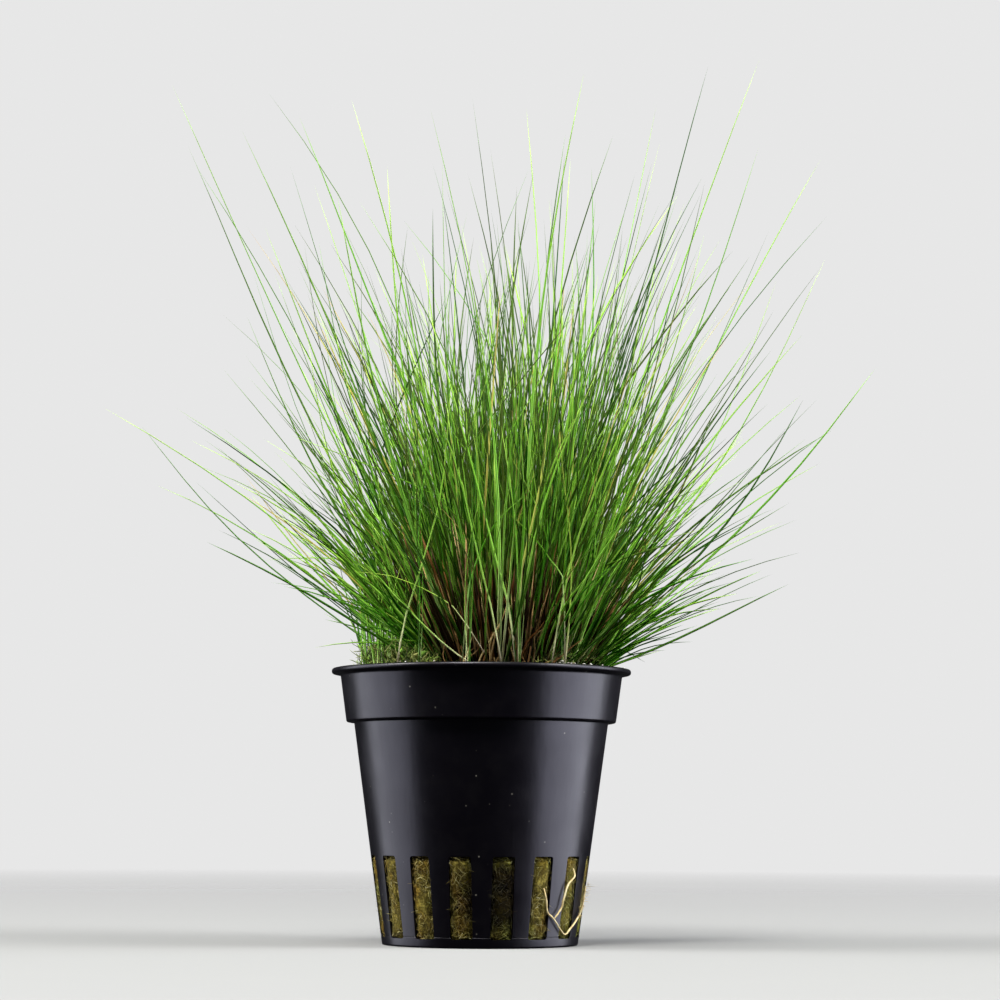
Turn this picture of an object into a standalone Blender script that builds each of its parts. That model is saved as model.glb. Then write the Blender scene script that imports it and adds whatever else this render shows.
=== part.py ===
"""Potted dwarf hairgrass: a slotted plant pot, its mineral wool plug, the root strands that hang
out of one slot, and a tuft of shoots whose narrow blades fan out over the rim.

Metres, +Z up. The origin is the middle of the pot's underside, and -Y is the front.
"""

import math
import random
from collections import namedtuple

import bmesh
import bpy
from mathutils import Matrix, Vector
from mathutils.bvhtree import BVHTree

MM = 0.001
GAP = 0.3 * MM

# Pot
POT_HEIGHT = 50.0 * MM
LIP_RADIUS = 27.5 * MM
LIP_THICKNESS = 1.0 * MM
COLLAR_TOP_RADIUS = 25.9 * MM
COLLAR_FOOT_RADIUS = 24.7 * MM
COLLAR_FOOT = 40.2 * MM
BODY_TOP_RADIUS = 23.3 * MM
BASE_RADIUS = 17.8 * MM
WALL = 0.8 * MM
FLOOR = 0.9 * MM
EDGE_ROUND = 0.3 * MM
POT_SIDES = 64

# Slots, one of them just left of the front
SLOT_COUNT = 16
SLOT_TURN = math.radians(-10.1)
SLOT_WIDTH = 4.0 * MM
SLOT_FOOT = 1.5 * MM
SLOT_TOP = 16.1 * MM
BASE_SLOT_COUNT = 8
BASE_SLOT_WIDTH = 2.4 * MM
BASE_SLOT_REACH = (6.0 * MM, 13.5 * MM)

# Mineral wool plug
WOOL_TOP = 47.6 * MM
WOOL_SIDES = 48

# Root strands
ROOT_THICKNESS = 0.44 * MM
ROOT_POINTS = 13

# Shoots: most stand in a clump right of the middle, the rest in an arc of small ones by the rim
CLUMP_COUNT = 38
CLUMP_RADIUS = 13.6 * MM
CLUMP_SHIFT = 4.4 * MM
ARC_COUNT = 12
ARC_RADIUS = 20.3 * MM
ARC_TURNS = (math.radians(126), math.radians(404))
ARC_TILT = math.radians(13)
ARC_TURN_SPREAD = math.radians(33)
ARC_LENGTHS = (24 * MM, 58 * MM)
BLADES = 5
CROWN_RADIUS = 1.5 * MM
CROWN_HEIGHT = 1.1 * MM
BLADE_WIDTH = 1.15 * MM
CLEARANCE = 0.12 * MM
WIDEST_TILT = math.radians(46)
TILT_SPREAD = math.radians(5)
TURN_SPREAD = math.radians(11)
LENGTHS = (66 * MM, 92 * MM)
SHORTER = (0.62, 0.92)
RISE = 0.25
FAN = (0.04, 0.12)
SWAY = 0.15
TRIES = 90
SEED = 7

# Tips of the longest blades: across, back and up
LONG_TIPS = [
    Vector(tip) * MM
    for tip in (
        (-59, 0, 160),
        (-43, 24, 165),
        (-24, -20, 152),
        (-11, 29, 163),
        (-2, -29, 150),
        (8, 20, 161),
        (18, -25, 156),
        (34, 29, 164),
        (41, -15, 160),
        (52, 2, 166),
        (66, 24, 152),
        (62, -20, 131),
        (-66, -10, 98),
        (-60, 25, 102),
        (46, -16, 63),
        (60, 11, 73),
        (73.5, 3, 107),
        (8, -62, 108),
        (-22, -58, 84),
        (3, 63, 106),
        (28, 57, 128),
        (-32, -48, 130),
        (-33, 50, 124),
        (33, -54, 78),
        (-48, -34, 70),
        (36, 50, 82),
    )
]

# Where each cross-section of a blade lies along it, and its share of the full width
SECTIONS = ((0.035, 0.72), (0.27, 1.0), (0.54, 0.86), (0.79, 0.58))


def clear_scene():
    for thing in list(bpy.data.objects):
        bpy.data.objects.remove(thing)


def finish(name, colour, roughness, metallic=0.0):
    """A plain surface of one colour"""
    material = bpy.data.materials.new(name)
    material.use_nodes = True
    shader = material.node_tree.nodes["Principled BSDF"]
    shader.inputs["Base Color"].default_value = (*colour, 1.0)
    shader.inputs["Roughness"].default_value = roughness
    shader.inputs["Metallic"].default_value = metallic
    material.diffuse_color = (*colour, 1.0)
    return material


def add_object(name, bm, material, smooth_below=None):
    """Turns a bmesh into a named object; edges flatter than smooth_below are shaded smooth"""
    bmesh.ops.recalc_face_normals(bm, faces=bm.faces[:])
    mesh = bpy.data.meshes.new(name)
    bm.to_mesh(mesh)
    bm.free()
    if smooth_below is not None:
        mesh.shade_smooth()
        mesh.set_sharp_from_angle(angle=smooth_below)
    if material:
        mesh.materials.append(material)
    thing = bpy.data.objects.new(name, mesh)
    bpy.context.collection.objects.link(thing)
    return thing


def around(angle, radius, height=0.0):
    """The point at an angle from the front, turning towards +X"""
    return Vector((radius * math.sin(angle), -radius * math.cos(angle), height))


def turned(profile, sides, first_angle=0.0):
    """Spins a closed profile of (radius, height) points, which starts and ends on the axis"""
    bm = bmesh.new()
    corners = [bm.verts.new(around(first_angle, radius, height)) for radius, height in profile]
    edges = [bm.edges.new(pair) for pair in zip(corners, corners[1:])]
    bmesh.ops.spin(
        bm, geom=corners + edges, axis=(0, 0, 1), cent=(0, 0, 0), angle=math.tau, steps=sides
    )
    bmesh.ops.remove_doubles(bm, verts=bm.verts[:], dist=1e-6)
    return bm


def body_radius(height):
    """The outer radius of the tapered body"""
    return BASE_RADIUS + (BODY_TOP_RADIUS - BASE_RADIUS) * height / COLLAR_FOOT


def pot_profile():
    """From the middle of the underside, up the outer side, over the lip and down the inner side"""
    lip_foot = POT_HEIGHT - LIP_THICKNESS
    return [
        (0, 0),
        (BASE_RADIUS - EDGE_ROUND, 0),
        (body_radius(EDGE_ROUND), EDGE_ROUND),
        (BODY_TOP_RADIUS, COLLAR_FOOT),
        (COLLAR_FOOT_RADIUS - EDGE_ROUND, COLLAR_FOOT),
        (COLLAR_FOOT_RADIUS, COLLAR_FOOT + EDGE_ROUND),
        (COLLAR_TOP_RADIUS, lip_foot),
        (LIP_RADIUS - EDGE_ROUND, lip_foot),
        (LIP_RADIUS, POT_HEIGHT - LIP_THICKNESS / 2),
        (LIP_RADIUS - EDGE_ROUND, POT_HEIGHT),
        (COLLAR_TOP_RADIUS - WALL + EDGE_ROUND, POT_HEIGHT),
        (COLLAR_TOP_RADIUS - WALL, POT_HEIGHT - EDGE_ROUND),
        (COLLAR_FOOT_RADIUS - WALL, COLLAR_FOOT + WALL),
        (BODY_TOP_RADIUS - WALL, COLLAR_FOOT - WALL),
        (body_radius(FLOOR) - WALL, FLOOR),
        (0, FLOOR),
    ]


def add_block(bm, angle, near, far, width, foot, top):
    """A block that points outwards at an angle from the front"""
    place = Matrix.Translation(around(angle, (near + far) / 2, (foot + top) / 2))
    turn = Matrix.Rotation(angle, 4, "Z")
    size = Matrix.Diagonal((width, far - near, top - foot, 1))
    bmesh.ops.create_cube(bm, size=1, matrix=place @ turn @ size)


def slot_cutter():
    """The blocks that cut the slots of the wall and of the base"""
    bm = bmesh.new()
    inside = BASE_RADIUS - 3 * WALL
    for slot in range(SLOT_COUNT):
        angle = SLOT_TURN + math.tau * slot / SLOT_COUNT
        add_block(bm, angle, inside, LIP_RADIUS, SLOT_WIDTH, SLOT_FOOT, SLOT_TOP)
    for slot in range(BASE_SLOT_COUNT):
        angle = SLOT_TURN + math.tau * slot / BASE_SLOT_COUNT
        add_block(bm, angle, *BASE_SLOT_REACH, BASE_SLOT_WIDTH, -FLOOR, 1.4 * FLOOR)
    cutter = add_object("slot_cutter", bm, None)
    cutter.hide_render = True
    cutter.display_type = "WIRE"
    return cutter


def add_pot():
    plastic = finish("pot_plastic", (0.012, 0.012, 0.014), 0.34)
    half_side = math.pi / POT_SIDES
    bm = turned(pot_profile(), POT_SIDES, SLOT_TURN + half_side)
    pot = add_object("pot", bm, plastic, smooth_below=math.radians(30))
    cut = pot.modifiers.new("slots", "BOOLEAN")
    cut.operation = "DIFFERENCE"
    cut.solver = "EXACT"
    cut.object = slot_cutter()


def add_rockwool():
    """The plug fills the tapered body and stands up into the collar"""
    wool = finish("mineral_wool", (0.17, 0.14, 0.05), 0.95)
    foot = FLOOR + GAP
    neck = COLLAR_FOOT - 2 * WALL
    profile = [
        (0, foot),
        (body_radius(foot) - WALL - GAP, foot),
        (body_radius(neck) - WALL - GAP, neck),
        (body_radius(neck) - WALL - GAP, WOOL_TOP),
        (0, WOOL_TOP),
    ]
    add_object("rockwool", turned(profile, WOOL_SIDES), wool, smooth_below=math.radians(30))


def strand(name, route, material):
    """A tube along a smooth curve through points given by angle, clearance off the wall and height"""
    nodes = [
        around(math.radians(angle), body_radius(height * MM) + clear * MM, height * MM)
        for angle, clear, height in route
    ]
    ends = [2 * nodes[0] - nodes[1], *nodes, 2 * nodes[-1] - nodes[-2]]
    curve = bpy.data.curves.new(name, "CURVE")
    curve.dimensions = "3D"
    curve.bevel_depth = ROOT_THICKNESS / 2
    curve.bevel_resolution = 1
    curve.use_fill_caps = True
    spline = curve.splines.new("POLY")
    spline.points.add(ROOT_POINTS - 1)
    for index, point in enumerate(spline.points):
        way = index / (ROOT_POINTS - 1) * (len(nodes) - 1)
        leg = min(int(way), len(nodes) - 2)
        point.co = (*smooth_between(*ends[leg : leg + 4], way - leg), 1)
    curve.materials.append(material)
    thing = bpy.data.objects.new(name, curve)
    bpy.context.collection.objects.link(thing)


def smooth_between(before, start, end, after, t):
    """A point between start and end on the curve that runs smoothly through all four"""
    return 0.5 * (
        2 * start
        + (end - before) * t
        + (2 * before - 5 * start + 4 * end - after) * t**2
        + (3 * start - before - 3 * end + after) * t**3
    )


def add_roots():
    """One strand loops from slot to slot round the right of the front, and a second one joins it"""
    straw = finish("root_straw", (0.55, 0.42, 0.2), 0.7)
    strand("root_strand", [
        (37, -0.25, 11), (39, 0.45, 8.6), (46, 0.5, 5), (56, 0.5, 2.3),
        (67, 0.55, 4.3), (76, 0.5, 8), (79.5, 0.15, 11),
    ], straw)
    strand("root_branch", [
        (61, -0.25, 14), (60, 0.5, 11.8), (54.6, 0.5, 9.2), (50, 0.5, 7), (47.2, 0.5, 5.75),
    ], straw)


def clump_places():
    """Even places on the plug, in a round clump"""
    golden_turn = math.pi * (3 - math.sqrt(5))
    radii = [CLUMP_RADIUS * math.sqrt((index + 0.5) / CLUMP_COUNT) for index in range(CLUMP_COUNT)]
    return [clump_middle() + around(index * golden_turn, radius) for index, radius in enumerate(radii)]


def clump_middle():
    return Vector((CLUMP_SHIFT, 0, WOOL_TOP + GAP))


def arc_places():
    """Places by the rim, from the right of the back round the left to the right of the front"""
    first, last = ARC_TURNS
    return [
        around(first + (last - first) * index / (ARC_COUNT - 1), ARC_RADIUS, WOOL_TOP + GAP)
        for index in range(ARC_COUNT)
    ]


def tilt_of(way):
    return way.angle(Vector((0, 0, 1)))


def share_out_tips(places):
    """Gives each long tip to the free crown nearest to the side that it leans to"""
    tips = {}
    middle = clump_middle()
    for tip in sorted(LONG_TIPS, key=lambda tip: -tilt_of(tip - middle)):
        way = tip - middle
        side = Vector((way.x, way.y, 0)).normalized()
        reach = min(1.0, tilt_of(way) / WIDEST_TILT)
        wish = middle + side * CLUMP_RADIUS * reach
        free = [index for index in range(len(places)) if index not in tips]
        tips[min(free, key=lambda index: (places[index] - wish).length)] = tip
    return tips


def leaning(tilt, turn):
    """The direction that leans by a tilt towards a turn about the upright"""
    return Vector((math.sin(tilt) * math.cos(turn), math.sin(tilt) * math.sin(turn), math.cos(tilt)))


def clump_tip(place, chance):
    """A tip that leans out further the nearer its crown is to the edge of the clump"""
    away = place - clump_middle()
    tilt = WIDEST_TILT * (away.length / CLUMP_RADIUS) ** 0.9 + chance.uniform(-1, 1) * TILT_SPREAD
    turn = math.atan2(away.y, away.x) + chance.uniform(-1, 1) * TURN_SPREAD
    return place + leaning(tilt, turn) * chance.uniform(*LENGTHS)


def arc_tip(place, chance):
    """A short tip that leans out a little over the rim"""
    tilt = ARC_TILT * chance.uniform(0.3, 1)
    turn = math.atan2(place.y, place.x) + chance.uniform(-1, 1) * ARC_TURN_SPREAD
    return place + leaning(tilt, turn) * chance.uniform(*ARC_LENGTHS)


def blade_sections(start, tip, side):
    """The three corners of each cross-section of a blade that rises, then arches out to its tip"""
    chord = tip - start
    rise = (chord.normalized() * (1 - RISE) + Vector((0, 0, RISE))).normalized()
    pull = start + rise * chord.length / 2
    sections = []
    for t, share in SECTIONS:
        middle = start * (1 - t) ** 2 + pull * 2 * t * (1 - t) + tip * t**2
        along = ((pull - start) * (1 - t) + (tip - pull) * t).normalized()
        out = (side - along * side.dot(along)).normalized()
        across = along.cross(out)
        width = BLADE_WIDTH * share
        sections.append([
            middle - out * width * 0.45,
            middle + out * width * 0.3 - across * width / 2,
            middle + out * width * 0.3 + across * width / 2,
        ])
    return sections


Blade = namedtuple("Blade", "sections tip whole upper")


def solid_test(sections, tip):
    """A search tree of a blade that is a little fatter than the real one"""
    fat = []
    for section in sections:
        middle = sum(section, Vector()) / 3
        fat.append([corner + (corner - middle).normalized() * CLEARANCE for corner in section])
    corners = [corner for section in fat for corner in section] + [tip]
    faces = []
    for level in range(len(fat) - 1):
        low = 3 * level
        for a, b in ((0, 1), (1, 2), (2, 0)):
            faces.append((low + a, low + b, low + 3 + b, low + 3 + a))
    last = 3 * (len(fat) - 1)
    faces += [(last + a, last + b, len(corners) - 1) for a, b in ((0, 1), (1, 2), (2, 0))]
    return BVHTree.FromPolygons(corners, faces)


def crown_faces(place, turn):
    """The corner points of each sloping face of a low pyramid: its peak and two foot corners"""
    peak = place + Vector((0, 0, CROWN_HEIGHT))
    foot = [place + around(turn + math.tau * n / BLADES, CROWN_RADIUS) for n in range(BLADES)]
    return [(peak, foot[n], foot[(n + 1) % BLADES]) for n in range(BLADES)]


def plan_blade(face, place, tip, share, chance, grown, own):
    """A blade from a crown face to near the shoot's tip, clear of all the blades before it"""
    root = sum(face, Vector()) / 3
    side = Vector((root.x - place.x, root.y - place.y, 0)).normalized()
    reach = tip - root
    for attempt in range(TRIES):
        fan = 0 if share == 1 else chance.uniform(*FAN)
        sway = Vector((chance.uniform(-1, 1), chance.uniform(-1, 1), 0)) * SWAY * attempt / TRIES
        end = root + (reach + (side * fan + sway) * reach.length) * share
        sections = blade_sections(root, end, side)
        whole = solid_test([face, *sections], end)
        upper = solid_test(sections, end)
        touches_others = any(whole.overlap(tree) for tree in grown)
        touches_own = any(upper.overlap(blade.upper) for blade in own)
        if not touches_others and not touches_own:
            return Blade(sections, end, whole, upper)
    return None


def plan_shoots():
    """For each crown, its faces and their blades; the crowded arc and the long blades come first"""
    chance = random.Random(SEED)
    clump = clump_places()
    places = clump + arc_places()
    long_tips = share_out_tips(clump)
    grown = []
    shoots = {}
    order = sorted(range(len(places)), key=lambda index: (index < CLUMP_COUNT, index not in long_tips))
    for index in order:
        place = places[index]
        faces = crown_faces(place, chance.uniform(0, math.tau))
        usual_tip = clump_tip if index < CLUMP_COUNT else arc_tip
        tip = long_tips.get(index) or usual_tip(place, chance)
        leader = chance.randrange(BLADES)
        blades = {}
        for count in range(BLADES):
            face = (leader + count) % BLADES
            share = 1 if count == 0 else chance.uniform(*SHORTER)
            blade = plan_blade(faces[face], place, tip, share, chance, grown, blades.values())
            if blade:
                blades[face] = blade
        grown += [blade.whole for blade in blades.values()]
        shoots[index] = faces, blades
    return [shoots[index] for index in range(len(places))]


def grow_blade(bm, face, blade):
    """Extrudes a crown face through the cross-sections and closes it in a point"""
    for section in blade.sections:
        face = bmesh.ops.extrude_discrete_faces(bm, faces=[face])["faces"][0]
        for corner, spot in zip(face.verts, section):
            corner.co = spot
    point = bmesh.ops.poke(bm, faces=[face])["verts"][0]
    point.co = blade.tip


def add_shoots():
    greens = [
        finish("blade_green", (0.07, 0.2, 0.02), 0.45),
        finish("blade_light_green", (0.13, 0.3, 0.03), 0.45),
        finish("blade_deep_green", (0.04, 0.13, 0.015), 0.45),
    ]
    for index, (faces, blades) in enumerate(plan_shoots()):
        bm = bmesh.new()
        peak = bm.verts.new(faces[0][0])
        foot = [bm.verts.new(face[1]) for face in faces]
        sides = [bm.faces.new((peak, foot[n], foot[(n + 1) % BLADES])) for n in range(BLADES)]
        bm.faces.new(foot[::-1])
        for face, blade in blades.items():
            grow_blade(bm, sides[face], blade)
        add_object(f"shoot_{index + 1:02d}", bm, greens[index % len(greens)])


clear_scene()
add_pot()
add_rockwool()
add_roots()
add_shoots()
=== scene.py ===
# %% [markdown]
# # Potted dwarf hairgrass
# A tuft of hair-fine grass blades stands in a black slotted pot, 50 mm tall. The blades grow in
# small shoots out of a plug of mineral wool, which fills the pot and shows in the slots round its
# foot. The solids of the frame give every place and size, and this script gives them their looks.

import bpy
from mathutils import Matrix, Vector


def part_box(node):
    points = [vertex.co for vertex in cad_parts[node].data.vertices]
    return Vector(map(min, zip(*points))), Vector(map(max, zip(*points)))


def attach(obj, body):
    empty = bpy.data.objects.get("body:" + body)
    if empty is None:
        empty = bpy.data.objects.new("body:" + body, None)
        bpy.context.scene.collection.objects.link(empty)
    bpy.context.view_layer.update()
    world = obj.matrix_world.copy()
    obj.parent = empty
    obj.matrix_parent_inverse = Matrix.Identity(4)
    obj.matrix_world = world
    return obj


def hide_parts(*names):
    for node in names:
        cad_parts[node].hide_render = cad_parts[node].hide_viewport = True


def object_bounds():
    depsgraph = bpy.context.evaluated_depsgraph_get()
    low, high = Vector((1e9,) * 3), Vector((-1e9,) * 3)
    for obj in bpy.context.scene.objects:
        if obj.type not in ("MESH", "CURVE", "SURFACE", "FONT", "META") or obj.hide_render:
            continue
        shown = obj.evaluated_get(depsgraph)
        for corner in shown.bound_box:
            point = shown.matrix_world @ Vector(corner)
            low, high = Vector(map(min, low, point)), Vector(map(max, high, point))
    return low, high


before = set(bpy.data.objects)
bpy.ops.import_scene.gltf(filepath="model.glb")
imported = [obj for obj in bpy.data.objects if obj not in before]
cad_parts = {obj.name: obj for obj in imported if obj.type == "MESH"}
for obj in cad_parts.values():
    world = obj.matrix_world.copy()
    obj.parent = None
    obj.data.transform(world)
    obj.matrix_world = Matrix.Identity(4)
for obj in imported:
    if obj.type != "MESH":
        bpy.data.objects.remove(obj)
solid_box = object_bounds()
print("solids:", len(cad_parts))

# %% Modules, the unit, and the box in millimetres
import math
import random

import bmesh
import bpy
import numpy as np
from mathutils import Matrix, Vector

MM = 0.001
print("box in mm:", [[round(c / MM, 1) for c in corner] for corner in solid_box])

# %% [markdown]
# ## Camera
# The pot was photographed with a long lens from half a metre away. The lens stood lower than the
# pot's rim and looked a little upwards, so the rim shows as a thin line and the wool behind it is
# hidden. The view is a plain camera with the same place, pitch, roll and lens, and no shift.

# %% Camera at the photograph's viewing angle
LENS = 100.8
CAMERA_PLACE = Vector((3.25, -515.3, 22.71)) * MM
CAMERA_PITCH = math.radians(6.5)
CAMERA_ROLL = math.radians(0.29)

bpy.ops.object.camera_add()
camera = bpy.context.object
camera.name = "camera"
camera.data.lens = LENS
pitch = Matrix.Rotation(math.radians(90) + CAMERA_PITCH, 4, "X")
roll = Matrix.Rotation(CAMERA_ROLL, 4, "Z")
camera.matrix_world = Matrix.Translation(CAMERA_PLACE) @ pitch @ roll
bpy.context.scene.camera = camera
bpy.context.scene.view_settings.view_transform = "Standard"
print("camera looks along", [round(c, 3) for c in -camera.matrix_world.col[2].xyz])

# %% [markdown]
# ## Rings of a turned shape
# The stage, the pot and the wool plug are all round. Such a shape can be spun from a profile, or a
# circle can be extruded ring by ring, as on a potter's wheel. The second way is used here, because
# each ring is then one step of the outline that can be read off. A small helper rounds the
# outline's corners, because nothing moulded has a knife edge.

# %% Helpers for turned shapes
def start_piece(name, add, **options):
    """Adds a primitive as a new piece, alone in the selection, and opens it for editing"""
    bpy.ops.object.select_all(action="DESELECT")
    add(**options)
    piece = bpy.context.object
    piece.name = name
    piece.data.name = name
    bpy.ops.object.mode_set(mode="EDIT")
    return piece


def draw_rings(outline):
    """Extrudes the selected ring through the next (radius, height) points of an outline"""
    for (radius, height), (next_radius, next_height) in zip(outline, outline[1:]):
        step = {"value": (0, 0, next_height - height)}
        bpy.ops.mesh.extrude_edges_move(TRANSFORM_OT_translate=step)
        wider = next_radius / radius
        bpy.ops.transform.resize(value=(wider, wider, 1), center_override=(0, 0, 0))


def bow(first, pull, last, reach):
    """The point, or points, at a share of the way from first to last, drawn towards pull"""
    return first * (1 - reach) ** 2 + pull * 2 * reach * (1 - reach) + last * reach**2


def rounded(corners, steps=3):
    """An outline in metres from (radius, height, rounding) corners given in millimetres"""
    outline = []
    for index, (radius, height, rounding) in enumerate(corners):
        corner = Vector((radius, height))
        if not rounding:
            outline.append(corner * MM)
            continue
        before = Vector(corners[index - 1][:2])
        after = Vector(corners[index + 1][:2])
        first = corner + (before - corner).normalized() * rounding
        last = corner + (after - corner).normalized() * rounding
        outline += [bow(first, corner, last, step / steps) * MM for step in range(steps + 1)]
    return outline


# %% Helpers to close, change and place a piece
def close_piece():
    """Fills the open rings, turns all faces outwards and leaves edit mode"""
    bpy.ops.mesh.select_all(action="SELECT")
    bpy.ops.mesh.fill_holes(sides=0)
    bpy.ops.mesh.normals_make_consistent(inside=False)
    bpy.ops.object.mode_set(mode="OBJECT")
    bpy.ops.object.transform_apply(location=True, rotation=True, scale=True)


def between(limits, share):
    first, last = limits
    return first + (last - first) * share


def held_between(low, value, high):
    return max(low, min(high, value))


def modify(piece, kind, **settings):
    """Adds a modifier, sets it up and applies it"""
    bpy.context.view_layer.objects.active = piece
    modifier = piece.modifiers.new(kind.lower(), kind)
    for setting, value in settings.items():
        setattr(modifier, setting, value)
    bpy.ops.object.modifier_apply(modifier=modifier.name)


def around(angle, radius, height=0.0):
    """The point at an angle from the front, turning towards the right"""
    return Vector((radius * math.sin(angle), -radius * math.cos(angle), height))


# %% [markdown]
# ## Stage and light
# The object stands on a plain pale floor. A floor that ended would leave a hard line behind the
# pot, so it fades out there, over a pale dish that curves up all round. The dish glows evenly and
# only the camera sees it: it gives every view the same background, and adds no light. A big cool
# soft light stands low on each side. Their reflections draw the bright bands on the black plastic
# and leave its middle dark. The blades get most of their light from four small warm lights: one
# high up on each side, one above, and one high in front that brightens the foremost blades.

# %% Materials from a few nodes
def new_material(name, colour=(0.8, 0.8, 0.8), roughness=0.5, specular=0.5, sheen=(1, 1, 1)):
    """A Principled material and its shader node, to which its pattern is linked"""
    material = bpy.data.materials.new(name)
    material.use_nodes = True
    shader = material.node_tree.nodes["Principled BSDF"]
    shader.inputs["Base Color"].default_value = (*colour, 1)
    shader.inputs["Roughness"].default_value = roughness
    shader.inputs["Specular IOR Level"].default_value = specular
    shader.inputs["Specular Tint"].default_value = (*sheen, 1)
    return material, shader


def plug_in(shader, socket, value):
    """Links an output to a socket, or sets the socket to a number, a vector or a colour"""
    if isinstance(value, bpy.types.NodeSocket):
        shader.id_data.links.new(value, socket)
    elif isinstance(value, tuple) and socket.type == "RGBA":
        socket.default_value = (*value, 1)
    else:
        socket.default_value = value


def add_node(shader, kind, inputs, **settings):
    """Adds a node beside the shader; inputs are given by the socket's name or number"""
    node = shader.id_data.nodes.new(kind)
    for setting, value in settings.items():
        setattr(node, setting, value)
    for name, value in inputs.items():
        plug_in(shader, node.inputs[name], value)
    return node


# %% Patterns and colours from nodes
def object_place(shader, stretch=(1, 1, 1)):
    """The point on the object, in metres, stretched along its axes"""
    place = add_node(shader, "ShaderNodeTexCoord", {}).outputs["Object"]
    return add_node(shader, "ShaderNodeMapping", {"Vector": place, "Scale": stretch}).outputs[0]


def noise(shader, place, size, detail=3.0):
    """Cloudy noise from 0 to 1, with lumps of a size in millimetres"""
    inputs = {"Vector": place, "Scale": 1 / (size * MM), "Detail": detail}
    return add_node(shader, "ShaderNodeTexNoise", inputs).outputs["Fac"]


def span(shader, value, start, end, first=0.0, last=1.0):
    """Maps start..end to first..last, and holds it there outside"""
    inputs = {"Value": value, "From Min": start, "From Max": end, "To Min": first, "To Max": last}
    return add_node(shader, "ShaderNodeMapRange", inputs).outputs["Result"]


def paint(shader, colour):
    plug_in(shader, shader.inputs["Base Color"], colour)


def multiply(shader, first, second):
    return add_node(shader, "ShaderNodeMath", {0: first, 1: second}, operation="MULTIPLY").outputs[0]


def ramp(shader, factor, stops):
    """A colour ramp through (position, colour) stops"""
    node = add_node(shader, "ShaderNodeValToRGB", {"Fac": factor})
    elements = node.color_ramp.elements
    while len(elements) < len(stops):
        elements.new(0.5)
    for element, (position, colour) in zip(elements, stops):
        element.position = position
        element.color = (*colour, 1)
    return node.outputs["Color"]


def mix_colours(shader, factor, first, second, blend="MIX"):
    inputs = {0: factor, 6: first, 7: second}
    return add_node(
        shader, "ShaderNodeMix", inputs, data_type="RGBA", blend_type=blend
    ).outputs[2]


def bump(shader, height, depth, strength=1.0):
    """Raises the surface by a depth in millimetres where height is 1"""
    inputs = {"Height": height, "Strength": strength, "Distance": depth * MM}
    plug_in(shader, shader.inputs["Normal"], add_node(shader, "ShaderNodeBump", inputs).outputs[0])


def mark(shader, name):
    """The number that each point of a strand carries under a name"""
    return add_node(shader, "ShaderNodeAttribute", {}, attribute_name=name).outputs["Fac"]


# %% The floor and the dish behind it
STAGE_SIDES = 96
FLOOR_REACH = 1.0
FLOOR_FADE = (0.12, 0.75)
DISH_DROP = 0.002
DISH_RADIUS = 2.4
DISH_COVE = 1.2
COVE_STEPS = 12
DISH_GLOW = 0.8

stage_floor = start_piece(
    "stage_floor", bpy.ops.mesh.primitive_circle_add,
    vertices=STAGE_SIDES, radius=FLOOR_REACH, fill_type="NGON",
)
bpy.ops.object.mode_set(mode="OBJECT")
stage_floor.visible_glossy = stage_floor.visible_diffuse = False
pale, shader = new_material("pale_floor", (0.26, 0.265, 0.275), roughness=0.9, specular=0.0)
distance = add_node(
    shader, "ShaderNodeVectorMath", {0: object_place(shader)}, operation="LENGTH"
).outputs["Value"]
plug_in(shader, shader.inputs["Alpha"], span(shader, distance, *FLOOR_FADE, 1, 0))
stage_floor.data.materials.append(pale)

cove_turns = [math.pi / 2 * step / COVE_STEPS for step in range(COVE_STEPS + 1)]
cove = [
    (
        DISH_RADIUS - DISH_COVE * (1 - math.sin(turn)),
        DISH_COVE * (1 - math.cos(turn)) - DISH_DROP,
    )
    for turn in cove_turns
]
dish = start_piece(
    "stage_dish", bpy.ops.mesh.primitive_circle_add, location=(0, 0, -DISH_DROP),
    vertices=STAGE_SIDES, radius=DISH_RADIUS - DISH_COVE, fill_type="NGON",
)
draw_rings([*cove, (DISH_RADIUS, 2 * DISH_COVE)])
bpy.ops.object.mode_set(mode="OBJECT")
bpy.ops.object.shade_smooth()
glow, shader = new_material("pale_dish", (0, 0, 0), roughness=1.0, specular=0.0)
shader.inputs["Emission Color"].default_value = (1, 1, 1, 1)
shader.inputs["Emission Strength"].default_value = DISH_GLOW
dish.data.materials.append(glow)
dish.visible_diffuse = dish.visible_glossy = dish.visible_transmission = False
dish.visible_shadow = False
print("stage:", len(stage_floor.data.polygons) + len(dish.data.polygons), "faces")

# %% Lights
AIM = Vector((0, 0, 70)) * MM
COOL = (0.9, 0.92, 1)
WARM = (1, 0.98, 0.9)
AIR_GLOW = 0.03
SOFTBOXES = {
    # name: azimuth from the front, elevation, distance, width, height, watts, colour
    "front_light": (-20, 58, 1.1, 0.3, 0.3, 12, WARM),
    "left_light": (-95, 6, 0.95, 1.0, 0.9, 9.5, COOL),
    "right_light": (88, 6, 0.95, 1.15, 0.9, 18, COOL),
    "high_left_light": (-80, 44, 1.1, 0.4, 0.4, 12.5, WARM),
    "high_right_light": (76, 44, 1.1, 0.4, 0.4, 11, WARM),
    "top_light": (-5, 75, 1.2, 0.4, 0.4, 6.5, WARM),
}
for name, (azimuth, elevation, distance, width, height, watts, colour) in SOFTBOXES.items():
    rise = math.radians(elevation)
    way = around(math.radians(azimuth), math.cos(rise), math.sin(rise))
    bpy.ops.object.light_add(type="AREA", location=AIM + way * distance)
    light = bpy.context.object
    light.name = name
    light.rotation_euler = way.to_track_quat("Z", "Y").to_euler()
    light.data.shape = "RECTANGLE"
    light.data.size = width
    light.data.size_y = height
    light.data.energy = watts
    light.data.color = colour
    light.visible_camera = False

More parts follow.
